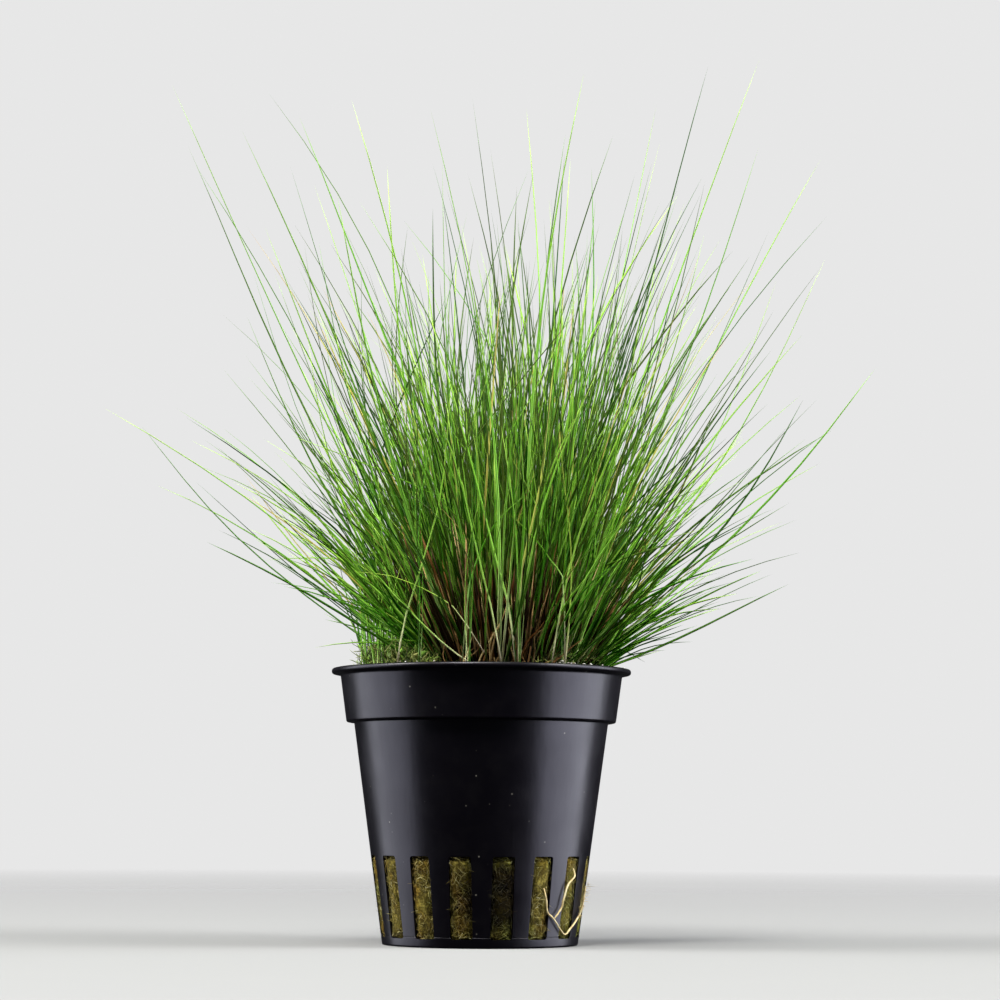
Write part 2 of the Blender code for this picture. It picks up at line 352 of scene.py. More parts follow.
world = bpy.data.worlds.new("studio")
world.use_nodes = True
world.node_tree.nodes["Background"].inputs["Color"].default_value = (*COOL, 1)
world.node_tree.nodes["Background"].inputs["Strength"].default_value = AIR_GLOW
bpy.context.scene.world = world
print("lights:", ", ".join(SOFTBOXES))

# %% [markdown]
# ## The pot
# The pot is one thin black moulding: a tapered body with slots round its foot, a wider collar, and
# a thin flat lip. Its outline is drawn ring by ring, from the middle of the underside up the
# outer side, over the lip, down the inner side and back to the middle of the floor. The
# numbers are those of the solid, with finer roundings. A fine groove runs round it at the slots'
# foot, where the two halves of the mould met.

# %% Outline of the pot
POT_SIDES = 96
POT_TOP = 50.0
LIP_RADIUS = 27.5
COLLAR_TOP = 25.9
COLLAR_BOTTOM = 24.7
COLLAR_FOOT = 40.2
BODY_TOP = 23.3
BASE = 17.8
WALL = 0.8
FLOOR = 0.9
MIDDLE = 3.0
SLOT_TURN = math.radians(-10.1)
GROOVE = (1.9, 0.09)
GROOVE_SIDE = 0.08


def body_radius(height):
    """The outer radius of the tapered body, in millimetres"""
    return BASE + (BODY_TOP - BASE) * height / COLLAR_FOOT


groove_height, groove_depth = GROOVE
pot_corners = [
    (MIDDLE, 0, 0),
    (BASE, 0, 0.35),
    (body_radius(groove_height - GROOVE_SIDE), groove_height - GROOVE_SIDE, 0),
    (body_radius(groove_height) - groove_depth, groove_height, 0),
    (body_radius(groove_height + GROOVE_SIDE), groove_height + GROOVE_SIDE, 0),
    (BODY_TOP, COLLAR_FOOT, 0.25),
    (COLLAR_BOTTOM, COLLAR_FOOT, 0.4),
    (COLLAR_TOP, POT_TOP - 1.0, 0.55),
    (LIP_RADIUS, POT_TOP - 1.0, 0.48),
    (LIP_RADIUS, POT_TOP, 0.5),
    (COLLAR_TOP - WALL, POT_TOP, 0.35),
    (COLLAR_BOTTOM - WALL, COLLAR_FOOT + WALL, 0.4),
    (BODY_TOP - WALL, COLLAR_FOOT - WALL, 0.4),
    (body_radius(FLOOR) - WALL, FLOOR, 0.3),
    (MIDDLE, FLOOR, 0),
]
pot_outline = rounded(pot_corners)
pot = start_piece(
    "pot_shell", bpy.ops.mesh.primitive_circle_add,
    vertices=POT_SIDES, radius=MIDDLE * MM, rotation=(0, 0, SLOT_TURN),
)
draw_rings(pot_outline)
close_piece()
print("pot before its slots:", len(pot.data.polygons), "faces")

# %% [markdown]
# ## The slots
# Sixteen slots in the wall and eight in the floor let water and roots through. Each slot is cut by
# a block whose corners are rounded as the mould's are. One block is shaped and then copied
# round the axis, and a Boolean modifier takes the whole ring out of the pot at once. A fine bevel
# breaks the new edges. Then the faces are shaded smooth, apart from those that meet sharply.

# %% Blocks that cut the slots
SLOT_COUNT = 16
SLOT_WIDTH = 4.0
SLOT_HEIGHTS = (1.5, 16.1)
SLOT_CORNER = 0.45
FLOOR_SLOT_COUNT = 8
FLOOR_SLOT_WIDTH = 2.4
FLOOR_SLOT_REACH = (6.0, 13.5)
BLOCK_DEPTH = 14
BLOCK_DISTANCE = 22


def slot_blocks(name, count, size, middle, corner_axis):
    """Blocks turned round the axis; the edges along one axis of the block are rounded"""
    blocks = start_piece(name, bpy.ops.mesh.primitive_cube_add, size=1)
    bpy.ops.transform.resize(value=[side * MM for side in size])
    mesh = bmesh.from_edit_mesh(blocks.data)
    bpy.ops.mesh.select_mode(type="EDGE")
    for edge in mesh.edges:
        along = edge.verts[1].co - edge.verts[0].co
        edge.select_set(abs(along[corner_axis]) > 0.9 * along.length)
    bmesh.update_edit_mesh(blocks.data)
    bpy.ops.mesh.bevel(offset=SLOT_CORNER * MM, segments=3)
    bpy.ops.mesh.select_all(action="SELECT")
    bpy.ops.transform.translate(value=[place * MM for place in middle])
    bpy.ops.transform.rotate(value=-SLOT_TURN, orient_axis="Z", center_override=(0, 0, 0))
    bpy.ops.mesh.spin(
        steps=count - 1, dupli=True, angle=math.tau * (count - 1) / count,
        center=(0, 0, 0), axis=(0, 0, 1),
    )
    close_piece()
    return blocks


slot_foot, slot_top = SLOT_HEIGHTS
floor_slot_near, floor_slot_far = FLOOR_SLOT_REACH
cutters = [
    slot_blocks(
        "wall_slots", SLOT_COUNT, (SLOT_WIDTH, BLOCK_DEPTH, slot_top - slot_foot),
        (0, -BLOCK_DISTANCE, (slot_foot + slot_top) / 2), corner_axis=1,
    ),
    slot_blocks(
        "floor_slots", FLOOR_SLOT_COUNT,
        (FLOOR_SLOT_WIDTH, floor_slot_far - floor_slot_near, 4 * FLOOR),
        (0, -(floor_slot_near + floor_slot_far) / 2, FLOOR / 2), corner_axis=2,
    ),
]
print("blocks:", ", ".join(cutter.name for cutter in cutters))

# %% Cut the slots and break their edges
EDGE_BREAK = 0.13
BREAK_ANGLE = math.radians(50)
SMOOTH_ANGLE = math.radians(42)

for cutter in cutters:
    modify(pot, "BOOLEAN", object=cutter, operation="DIFFERENCE", solver="EXACT")
    bpy.data.objects.remove(cutter)
modify(
    pot, "BEVEL", width=EDGE_BREAK * MM, segments=2, limit_method="ANGLE",
    angle_limit=BREAK_ANGLE, miter_outer="MITER_ARC",
)
bpy.ops.object.select_all(action="DESELECT")
pot.select_set(True)
bpy.ops.object.shade_smooth_by_angle(angle=SMOOTH_ANGLE)
modify(pot, "WEIGHTED_NORMAL", keep_sharp=True, weight=50)
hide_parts("pot")
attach(pot, "root")
print("pot:", len(pot.data.polygons), "faces")

# %% [markdown]
# ## Black plastic
# The pot is moulded from black plastic, so it is close to black, satin and not quite even: it has
# faint flow marks, a thin film of dirt, and dust in tiny pale dots. The dots come from a Voronoi
# pattern, and are mixed into the colour where noise lets them gather. Roughness is mottled by
# noise too, so that the side reflections break up softly.

# %% Finish of the pot
PLASTIC_BLACK = (0.002, 0.0015, 0.003)
DUST_GREY = (0.24, 0.23, 0.2)
PLASTIC_SHEEN = (0.88, 0.86, 1)
SPECKS_PER_METRE = 520.0

plastic, shader = new_material("black_plastic", PLASTIC_BLACK, specular=0.35, sheen=PLASTIC_SHEEN)
place = object_place(shader)
mottled = span(shader, noise(shader, place, 7), 0.3, 0.7, 0.28, 0.36)
plug_in(shader, shader.inputs["Roughness"], mottled)
specks = add_node(shader, "ShaderNodeTexVoronoi", {"Vector": place, "Scale": SPECKS_PER_METRE})
speck = span(shader, specks.outputs["Distance"], 0.04, 0.1, 1, 0)
few = span(shader, add_node(
    shader, "ShaderNodeSeparateColor", {"Color": specks.outputs["Color"]}
).outputs["Red"], 0.5, 0.52)
gathered = span(shader, noise(shader, place, 9), 0.42, 0.6)
dusty = multiply(shader, multiply(shader, speck, few), gathered)
film = span(shader, noise(shader, place, 3, 6.0), 0.5, 0.85, 0.0, 0.012)
veiled = mix_colours(shader, film, PLASTIC_BLACK, DUST_GREY)
paint(shader, mix_colours(shader, dusty, veiled, DUST_GREY))
flow = noise(shader, object_place(shader, (1, 1, 0.25)), 1.6, 2.0)
bump(shader, flow, 0.02)
pot.data.materials.append(plastic)
print("pot finish:", plastic.name)

# %% [markdown]
# ## The mineral wool
# The plug is a block of spun rock fibres, soft enough to swell a little into every slot. A
# smooth cylinder would look like wood, and a simulation is too much for a lump that nothing moves.
# So the plug is drawn in close rings, and three Displace modifiers shape it: one pushes it out
# where a slot leaves it free, one makes the top uneven, and one roughens it all over.

# %% Outline of the plug, and where the slots leave it free
PLUG_SIDES = 192
PLUG_FOOT = FLOOR + 0.35
PLUG_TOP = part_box("rockwool")[1].z / MM
PLUG_SHOULDER = COLLAR_FOOT - 2 * WALL
PLUG_GAP = 0.35
PLUG_STEP = 0.7
SLOT_CLEARANCE = 0.1
SWELL_REACH = 0.7


def plug_radius(height):
    """The plug's radius inside the tapered wall, in millimetres"""
    return body_radius(min(height, PLUG_SHOULDER)) - WALL - PLUG_GAP


def slot_angle(slot):
    return SLOT_TURN + math.tau * slot / SLOT_COUNT


def slot_freedom(point):
    """From 0 behind the wall to 1 in the middle of a slot, for a point in metres"""
    angle = math.atan2(point.x, -point.y)
    slot = round((angle - SLOT_TURN) * SLOT_COUNT / math.tau)
    aside = abs(math.sin(angle - slot_angle(slot))) * Vector(point.xy).length / MM
    height = point.z / MM
    room = min(SLOT_WIDTH / 2 - aside, height - slot_foot, slot_top - height) - SLOT_CLEARANCE
    return held_between(0.0, room / SWELL_REACH, 1.0)


plug_rings = [(MIDDLE, PLUG_FOOT), (plug_radius(PLUG_FOOT), PLUG_FOOT)]
wall_steps = round((PLUG_TOP - PLUG_FOOT) / PLUG_STEP)
for height in np.linspace(PLUG_FOOT, PLUG_TOP, wall_steps + 1)[1:]:
    plug_rings.append((plug_radius(height), height))
top_radius = plug_radius(PLUG_TOP)
top_steps = round(top_radius / PLUG_STEP) - 2
for radius in np.linspace(top_radius, PLUG_STEP, top_steps + 1)[1:]:
    plug_rings.append((radius, PLUG_TOP))
print("plug rings:", len(plug_rings), "top at", round(PLUG_TOP, 1))

# %% Draw the plug and shape it
SLOT_BULGE = 0.95
TOP_LUMPS = 1.3
ROUGHNESS_DEPTH = 0.3
LUMP_SIZE = 5
TUFT_SIZE = 0.9

plug = start_piece(
    "wool_plug", bpy.ops.mesh.primitive_circle_add,
    vertices=PLUG_SIDES, radius=MIDDLE * MM, rotation=(0, 0, SLOT_TURN),
)
bpy.ops.transform.translate(value=(0, 0, PLUG_FOOT * MM))
draw_rings([(radius * MM, height * MM) for radius, height in plug_rings])
close_piece()
groups = {name: plug.vertex_groups.new(name=name) for name in ("in_slots", "top")}
for vertex in plug.data.vertices:
    groups["in_slots"].add([vertex.index], slot_freedom(vertex.co), "REPLACE")
    groups["top"].add([vertex.index], float(vertex.co.z > (PLUG_TOP - 0.1) * MM), "REPLACE")
lumps = bpy.data.textures.new("wool_lumps", "CLOUDS")
lumps.noise_scale = LUMP_SIZE * MM
tufts = bpy.data.textures.new("wool_tufts", "CLOUDS")
tufts.noise_scale = TUFT_SIZE * MM
tufts.noise_depth = 3
modify(plug, "DISPLACE", texture=lumps, texture_coords="LOCAL", mid_level=-0.4,
       strength=SLOT_BULGE * MM, vertex_group="in_slots")
modify(plug, "DISPLACE", texture=lumps, texture_coords="LOCAL", direction="Z", mid_level=0.6,
       strength=TOP_LUMPS * MM, vertex_group="top")
modify(plug, "DISPLACE", texture=tufts, texture_coords="LOCAL", strength=ROUGHNESS_DEPTH * MM)
bpy.ops.object.shade_smooth()
plug.vertex_groups.clear()
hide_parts("rockwool")
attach(plug, "root")
print("plug:", len(plug.data.polygons), "faces")

# %% [markdown]
# ## Colour of the wool
# The rock fibres are brown and ochre, with painted shade that makes them deep between the tufts and
# painted light that makes them pale on top of them. Green algae and rust from the water have left
# patches of stain on them, and painted shade makes them dark where shade falls: behind one slot in
# front, and on top at the foot of the blades. Noise of several sizes makes the mass and its patches,
# and the distance from a point makes the painted shade. The fibres get the same stains and the same
# painted shade, so one function gives them to both.

# %% Finish of the wool
SHADE_SPOTS = [
    # place, and where the painted shade starts to fade and where it ends, in millimetres
    ((2.8, -19, 9), (4.4, 8.6)),
    ((3, -20, 50), (10, 16)),
]
PAINTED_SHADE = (0.11, 0.09, 0.06)


def stained_and_shaded(shader, place, colour):
    """The colour with green algae and rusty brown patches, and painted shade where shade falls"""
    algae = span(shader, noise(shader, place, 6), 0.45, 0.65, 0, 0.7)
    colour = mix_colours(shader, algae, colour, (0.55, 0.75, 0.3), "MULTIPLY")
    further = object_place(shader, (1, 1, 0.7))
    rusty = span(shader, noise(shader, further, 4.3), 0.5, 0.68, 0, 0.8)
    colour = mix_colours(shader, rusty, colour, (1, 0.68, 0.3), "MULTIPLY")
    # painted shade: near each spot the colour is darkened, at a slot in front and the top's front
    for spot, reach in SHADE_SPOTS:
        inputs = {0: place, 1: tuple(Vector(spot) * MM)}
        away = add_node(shader, "ShaderNodeVectorMath", inputs, operation="DISTANCE").outputs["Value"]
        painted_shade_mask = span(shader, away, reach[0] * MM, reach[1] * MM, 1, 0)
        colour = mix_colours(shader, painted_shade_mask, colour, PAINTED_SHADE, "MULTIPLY")
    return colour


wool, shader = new_material("mineral_wool_mass", roughness=0.95, specular=0.1)
place = object_place(shader)
tuft_height_and_shade = multiply(shader, noise(shader, place, 0.35, 5.0), noise(shader, place, 1.6))
# painted shade and light: where the tuft height is low the wool is painted dark, where high pale
wool_colour_and_shade = ramp(shader, span(shader, tuft_height_and_shade, 0.12, 0.42), [
    (0.0, (0.024, 0.018, 0.004)), (0.45, (0.105, 0.083, 0.016)), (1.0, (0.3, 0.245, 0.054)),
])
paint(shader, stained_and_shaded(shader, place, wool_colour_and_shade))
bump(shader, tuft_height_and_shade, 0.3)
plug.data.materials.append(wool)
print("plug finish:", wool.name)

# %% [markdown]
# ## Strands
# Fibres, roots, blades and dead sheaths are all thin strands: a centre line with a width that
# changes along it. Curves with a bevel would give each the same round section, and hair curves
# would be lost in the export. Here one function turns a whole list of strands into one mesh
# of tapered tubes. Each strand keeps numbers for the material: how far along it a point is, a
# random tone of its own, how dry it is, and how dark the husk round its foot is.

# %% A strand and its rings
class Strand:
    """A tapered strand along a line of points, with a flattened section that can turn"""

    def __init__(self, line, widths, flatness=1.0, turn=0.0, twist=0.0, tone=0.5, dry=0.0, husk=0.0):
        self.line = np.asarray(line, float)
        self.widths = np.asarray(widths, float)
        self.flatness, self.turn, self.twist = flatness, turn, twist
        self.tone, self.dry, self.husk = tone, dry, husk


def section_frames(line):
    """Unit vectors across the line and out of it, at each of its points"""
    along = np.gradient(line, axis=0)
    along /= np.linalg.norm(along, axis=1)[:, None]
    upright = abs(along[0, 2]) > 0.9
    across = np.cross(along, (1.0, 0.0, 0.0) if upright else (0.0, 0.0, 1.0))
    across /= np.linalg.norm(across, axis=1)[:, None]
    return across, np.cross(along, across)


def strand_rings(strand, sides):
    """The corners of a strand's rings, from its foot up to just below its tip"""
    across, out = [side[:-1, None] for side in section_frames(strand.line)]
    reach = np.linspace(0, 1, len(strand.line))[:-1, None]
    ring = np.arange(sides) * math.tau / sides
    flat = np.cos(ring) * strand.widths[:-1, None] / 2
    deep = np.sin(ring) * strand.widths[:-1, None] / 2 * strand.flatness
    turn = strand.turn + strand.twist * reach
    wide = flat * np.cos(turn) - deep * np.sin(turn)
    high = flat * np.sin(turn) + deep * np.cos(turn)
    rings = strand.line[:-1, None] + across * wide[..., None] + out * high[..., None]
    return rings.reshape(-1, 3)


def strand_faces(first, tip, sides):
    """The faces of a strand whose rings are numbered from first on, up to its tip"""
    around_ring = [(n, (n + 1) % sides) for n in range(sides)]
    faces = [
        (low + one, low + other, low + sides + other, low + sides + one)
        for low in range(first, tip - sides, sides) for one, other in around_ring
    ]
    last = tip - sides
    faces += [(last + one, last + other, tip) for one, other in around_ring]
    return faces + [tuple(reversed(range(first, first + sides)))]


# %% One mesh from many strands
def strand_mesh(name, strands, sides):
    """A new piece of closed tapered tubes, marked with the numbers of their strands"""
    points, faces = [], []
    marks = {"along": [], "tone": [], "dry": [], "husk": []}
    first = 0
    for strand in strands:
        rings = strand_rings(strand, sides)
        tip = first + len(rings)
        points += [rings, strand.line[-1:]]
        faces += strand_faces(first, tip, sides)
        reach = np.linspace(0, 1, len(strand.line))[:-1]
        marks["along"].append(np.append(np.repeat(reach, sides), 1))
        for label in ("tone", "dry", "husk"):
            marks[label].append(np.full(len(rings) + 1, getattr(strand, label)))
        first = tip + 1
    mesh = bpy.data.meshes.new(name)
    mesh.from_pydata(np.vstack(points).tolist(), [], faces)
    for label, values in marks.items():
        attribute = mesh.attributes.new(label, "FLOAT", "POINT")
        attribute.data.foreach_set("value", np.concatenate(values).astype(np.float32))
    mesh.shade_smooth()
    piece = bpy.data.objects.new(name, mesh)
    bpy.context.collection.objects.link(piece)
    return piece


# %% [markdown]
# ## Fibres of the wool
# What the eye reads as wool is its fibres: pale ones that catch the light over dark gaps. Each
# slot shows a few hundred of them, which run every way and dive in and out of the surface. A few
# have been pulled out over the plastic. More lie on the top of the plug, between the shoots, but
# none at its front, where only the dark mass with its painted shade shows. Each is a thin strand
# of its own with a random bend, because a texture would look flat from the side.

# %% Helpers for fibres
FIBRE_WIDTH = 0.085
FIBRE_POINTS = 5
FIBRE_SIDES = 3
BARE_FRONT = (-8, 12)
chance = random.Random(11)


def any_turn():
    return chance.uniform(0, math.tau)


def fibre(start, middle, end, width):
    """A fibre whose line bends through its middle"""
    start, middle, end = np.array(start), np.array(middle), np.array(end)
    reach = np.linspace(0, 1, FIBRE_POINTS)[:, None]
    line = bow(start, middle * 2 - (start + end) / 2, end, reach)
    widths = np.linspace(1, 0.6, FIBRE_POINTS) * width
    return Strand(line, widths * MM, tone=chance.random(), dry=chance.random())


def in_slot(slot, aside, height, lift):
    """A point in a slot: millimetres aside of its middle, and out from the plug's own face"""
    radius = plug_radius(height) + lift
    return around(slot_angle(slot) + aside / radius, radius * MM, height * MM)


def is_bare(spot):
    """True at the front of the plug's top, in millimetres, where only dark wool with painted shade
    shows
    """
    left, right = BARE_FRONT
    return spot.y < 0 and left < spot.x < right


print("bare front in mm:", BARE_FRONT)

# %% Fibres in the slots
FIBRES_PER_SLOT = 380
FIBRE_ASIDE = 1.8
FAR_ASIDE = 1.85
SLOT_END = 0.3
FAR_END = 0.1
FIBRE_LENGTHS = (1, 3.5)
FIBRE_BEND = 0.4


def slot_fibre(slot):
    """A fibre that dives out of the wool in a slot and back into it"""
    aside = chance.uniform(-FIBRE_ASIDE, FIBRE_ASIDE)
    height = chance.uniform(slot_foot + SLOT_END, slot_top - SLOT_END)
    heading, length = any_turn(), chance.uniform(*FIBRE_LENGTHS)
    far_aside = held_between(-FAR_ASIDE, aside + length * math.cos(heading), FAR_ASIDE)
    far_height = height + length * math.sin(heading)
    far_height = held_between(slot_foot + FAR_END, far_height, slot_top - FAR_END)
    start = in_slot(slot, aside, height, chance.uniform(0.3, 0.7))
    middle = in_slot(
        slot, (aside + far_aside) / 2 + chance.uniform(-FIBRE_BEND, FIBRE_BEND),
        (height + far_height) / 2 + chance.uniform(-FIBRE_BEND, FIBRE_BEND),
        chance.uniform(0.6, 1.1),
    )
    end = in_slot(slot, far_aside, far_height, chance.uniform(0.3, 0.8))
    return fibre(start, middle, end, FIBRE_WIDTH * chance.uniform(0.6, 1.2))


# %% Fibres pulled out over the plastic
LOOSE_PER_SLOT = 5
LOOSE_HEIGHTS = (2.5, 15)
LOOSE_ASIDE = (1.4, 1.9)
LOOSE_REACH = (2.3, 3.0)


def loose_fibre(slot):
    """A fibre that reaches out of a slot and over its edge"""
    side = chance.choice((-1, 1))
    height = chance.uniform(*LOOSE_HEIGHTS)
    rise = chance.uniform(-1.2, 1.2)
    near, edge = LOOSE_ASIDE
    return fibre(
        in_slot(slot, side * near, height, 0.6),
        in_slot(slot, side * edge, height + rise / 2, chance.uniform(1.15, 1.35)),
        in_slot(slot, side * chance.uniform(*LOOSE_REACH), height + rise, chance.uniform(1.25, 1.7)),
        FIBRE_WIDTH * 0.6,
    )


fibres = []
for slot in range(SLOT_COUNT):
    fibres += [slot_fibre(slot) for number in range(FIBRES_PER_SLOT)]
    fibres += [loose_fibre(slot) for number in range(LOOSE_PER_SLOT)]
print("fibres in the slots:", len(fibres))

# %% Fibres on the top of the plug, and the finish of all fibres
TOP_FIBRES = 700
TOP_LENGTHS = (2, 6)

for number in range(TOP_FIBRES):
    spot = around(any_turn(), plug_radius(PLUG_TOP) * math.sqrt(chance.random()))
    far = spot + around(any_turn(), chance.uniform(*TOP_LENGTHS))
    if far.length > plug_radius(PLUG_TOP) or is_bare(spot):
        continue
    middle = (spot + far) / 2 + Vector((chance.uniform(-1, 1), chance.uniform(-1, 1), 0))
    heights = PLUG_TOP + chance.uniform(-0.2, 0.4), PLUG_TOP + chance.uniform(0.3, 1.4), PLUG_TOP
    fibres.append(fibre(*[
        Vector((*point.xy, height)) * MM for point, height in zip((spot, middle, far), heights)
    ], FIBRE_WIDTH * chance.uniform(0.7, 1.3)))
wool_fibres = strand_mesh("wool_fibres", fibres, FIBRE_SIDES)
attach(wool_fibres, "root")

fibre_finish, shader = new_material("wool_fibre", roughness=0.6, specular=0.3)
fibre_colour = ramp(shader, mark(shader, "tone"), [
    (0.0, (0.05, 0.04, 0.008)), (0.35, (0.165, 0.13, 0.026)), (0.7, (0.34, 0.285, 0.07)),
    (0.93, (0.52, 0.47, 0.18)), (1.0, (0.75, 0.72, 0.46)),
])
paint(shader, stained_and_shaded(shader, object_place(shader), fibre_colour))
wool_fibres.data.materials.append(fibre_finish)
print("fibres:", len(fibres), "faces:", len(wool_fibres.data.polygons))

# %% [markdown]
# ## The roots
# One root has found its way out of a slot at the lower right. It runs down the wall, round the
# foot and up into the next slot, and a second one joins it. The route repeats that of the
# solids, point by point, and a little wobble and a taper make it grow rather than bend like wire.
# Where it climbs up the right side, fine hairs stand off it, which are short strands of their own.

# %% Root strands
ROOT_WIDTH = 0.36
ROOT_LINE_POINTS = 40
ROOT_SIDES = 8
ROOT_WOBBLE = 0.035 * MM
ROOT_ROUTES = {
    # degrees from the front, millimetres off the wall, height
    "root_strand": [
        (36.6, -0.3, 10.6), (37.4, 0.4, 8.8), (38.8, 0.5, 6.4), (44, 0.5, 5.1), (53.6, 0.5, 2.4),
        (59, 0.5, 3.2), (66.5, 0.55, 5), (73, 0.5, 7), (79, 0.2, 11),
    ],
    "root_branch": [
        (59, -0.25, 14), (57.6, 0.5, 12.6), (52.6, 0.5, 11.2), (50, 0.5, 8.7), (48.8, 0.5, 7),
        (44, 0.5, 5.1),
    ],
}


def smooth_line(route, count):
    """Points on the smooth curve that runs through all the points of a route"""
    ends = [2 * route[0] - route[1], *route, 2 * route[-1] - route[-2]]
    line = []
    for step in range(count):
        way = step / (count - 1) * (len(route) - 1)
        leg = min(int(way), len(route) - 2)
        before, start, end, after = ends[leg : leg + 4]
        t = way - leg
        line.append(0.5 * (
            2 * start + (end - before) * t + (2 * before - 5 * start + 4 * end - after) * t**2
            + (3 * start - before - 3 * end + after) * t**3
        ))
    return line


root_skin, shader = new_material("root_skin", roughness=0.5, specular=0.4)
paint(shader, ramp(
    shader, noise(shader, object_place(shader), 1.3), [
        (0.3, (0.42, 0.28, 0.1)), (0.5, (0.72, 0.58, 0.28)), (0.75, (0.85, 0.77, 0.5)),
    ],
))
bump(shader, noise(shader, object_place(shader), 0.3), 0.05)

for name, route in ROOT_ROUTES.items():
    spots = [
        around(math.radians(angle), (body_radius(height) + clear) * MM, height * MM)
        for angle, clear, height in route
    ]
    line = np.array(smooth_line(spots, ROOT_LINE_POINTS))
    line += [[chance.uniform(-1, 1) * ROOT_WOBBLE for axis in range(3)] for point in line]
    ends_thinner = 1 - 0.3 * abs(np.linspace(-1, 1, ROOT_LINE_POINTS)) ** 3
    uneven = [chance.uniform(0.82, 1.05) for point in line]
    root = strand_mesh(
        name + "_skin", [Strand(line, ROOT_WIDTH * MM * ends_thinner * uneven)], ROOT_SIDES
    )
    root.data.materials.append(root_skin)
    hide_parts(name)
    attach(root, "root")
    print(root.name, len(root.data.polygons), "faces")

# %% Root hairs where the root climbs up the right side
HAIR_COUNT = 46
HAIR_TURNS = (68, 79)
HAIR_HEIGHTS = (5.4, 11.2)
HAIR_START = 0.45
HAIR_LENGTHS = (0.5, 1.4)
HAIR_WIDTH = 0.08

hairs = []
for number in range(HAIR_COUNT):
    share = chance.random()
    angle = math.radians(between(HAIR_TURNS, share))
    height = between(HAIR_HEIGHTS, share)
    foot = around(angle, (body_radius(height) + HAIR_START) * MM, height * MM)
    way = (around(angle, 0.7) + Vector([chance.gauss(0, 0.6) for axis in range(3)])).normalized()
    bend = Vector([chance.gauss(0, 0.35) for axis in range(3)])
    length = chance.uniform(*HAIR_LENGTHS) * MM
    line = [foot + (way + bend * reach) * length * reach for reach in (0, 0.3, 0.65, 1)]
    hairs.append(Strand(line, HAIR_WIDTH * MM * np.array([1, 0.9, 0.7, 0.3])))
root_hairs = strand_mesh("root_hairs", hairs, 3)
root_hairs.data.materials.append(root_skin)
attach(root_hairs, "root")
print("root hairs:", len(hairs), "faces:", len(root_hairs.data.polygons))

# %% [markdown]
# ## Where the shoots stand
# The solids give the plan of the tuft. Each shoot is a low crown with up to five blades, and in its
# mesh a tip is a corner where only three triangles meet. Reading crown and tips
# from there puts every fine blade where the solid one is, with no second list of places.

# %% Crowns and tips of the shoots
SHOOT_NAMES = sorted(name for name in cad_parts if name.startswith("shoot_"))
MERGE = 0.001 * MM
TIP_RISE = 12 * MM
RIM_DISTANCE = 19 * MM


def read_shoot(name):
    """The middle of a shoot's crown and the tips of its blades"""
    mesh = bmesh.new()
    mesh.from_mesh(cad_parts[name].data)
    bmesh.ops.remove_doubles(mesh, verts=mesh.verts[:], dist=MERGE)
    lowest = min(vertex.co.z for vertex in mesh.verts)
    foot = [vertex.co.copy() for vertex in mesh.verts if vertex.co.z < lowest + MERGE]
    tips = [
        vertex.co.copy() for vertex in mesh.verts
        if len(vertex.link_faces) == 3 and vertex.co.z > lowest + TIP_RISE
    ]
    mesh.free()
    return sum(foot, Vector()) / len(foot), tips


shoots = {name: read_shoot(name) for name in SHOOT_NAMES}
clump = {name: shoot for name, shoot in shoots.items() if Vector(shoot[0].xy).length < RIM_DISTANCE}
rim_shoots = {name: shoot for name, shoot in shoots.items() if name not in clump}
clump_middle = sum((crown for crown, tips in clump.values()), Vector()) / len(clump)
clump_reach = max((crown - clump_middle).length for crown, tips in clump.values())
print("in the clump:", len(clump), "by the rim:", len(rim_shoots))
print("clump in mm:", [round(c / MM, 1) for c in clump_middle], "reach", round(clump_reach / MM, 1))

# %% [markdown]
# ## Shape of a blade
# A blade is a needle, at most half a millimetre wide and up to eleven centimetres long. It leaves its
# sheath a little steeper than it ends, bends outwards in a gentle arch and narrows to a fine point.
# Three points steer a smooth curve for that, and a small sway keeps it from being a perfect
# arc. Every now and then a green blade has been knocked and turns down at a kink.

# %% Helpers for blades
UP = Vector((0, 0, 1))
RISES = (0.06, 0.45)
SWAY = 0.04
KINK_CHANCE = 0.03
KINK_TURNS = (0.4, 1.0)
BLADE_POINTS = 10
BLADE_SIDES = 4
BLADE_FLATNESS = (0.45, 0.85)
SHEATHED_WIDTH = 0.8
SHEATHED_REACH = 0.25
POINT_TAPER = (0.76, 2.6)
BLADE_TWIST = 1.2
SHOWN_MARGIN = 4 * MM
chance = random.Random(23)


def held_inside(tip):
    """A tip that lies in the box of the solids, or out of it by no more than the margin"""
    low, high = solid_box
    return Vector([
        held_between(low[axis] - SHOWN_MARGIN, tip[axis], high[axis] + SHOWN_MARGIN)
        for axis in range(3)
    ])


def arch(foot, tip, rise):
    """The points of a blade that rises from its foot and arches over to its tip"""
    chord = tip - foot
    upward = (chord.normalized() * (1 - rise) + UP * rise).normalized()
    pull = foot + upward * chord.length / 2
    reach = np.linspace(0, 1, BLADE_POINTS)[:, None]
    return bow(np.array(foot), np.array(pull), np.array(tip), reach)


def sideways(spread):
    """A small random step, half as far up and down as to the sides"""
    return Vector((chance.gauss(0, spread), chance.gauss(0, spread), chance.gauss(0, spread / 2)))


def kinked(line):
    """The same blade, turned down from a point beyond its middle"""
    joint = chance.randint(BLADE_POINTS // 2, BLADE_POINTS - 4)
    axis = Vector((chance.uniform(-1, 1), chance.uniform(-1, 1), 0)).normalized()
    turn = np.array(Matrix.Rotation(chance.uniform(*KINK_TURNS), 3, axis))
    return np.vstack([line[:joint], line[joint] + (line[joint:] - line[joint]) @ turn.T])


def blade_widths(width):
    """Narrower in the sheath, full at a quarter of the length, then ever finer up to the point"""
    reach = np.linspace(0, 1, BLADE_POINTS)
    taper, power = POINT_TAPER
    out_of_sheath = np.minimum(1, reach / SHEATHED_REACH)
    full = SHEATHED_WIDTH + (1 - SHEATHED_WIDTH) * out_of_sheath
    return width * MM * full * (1 - taper * reach**power)


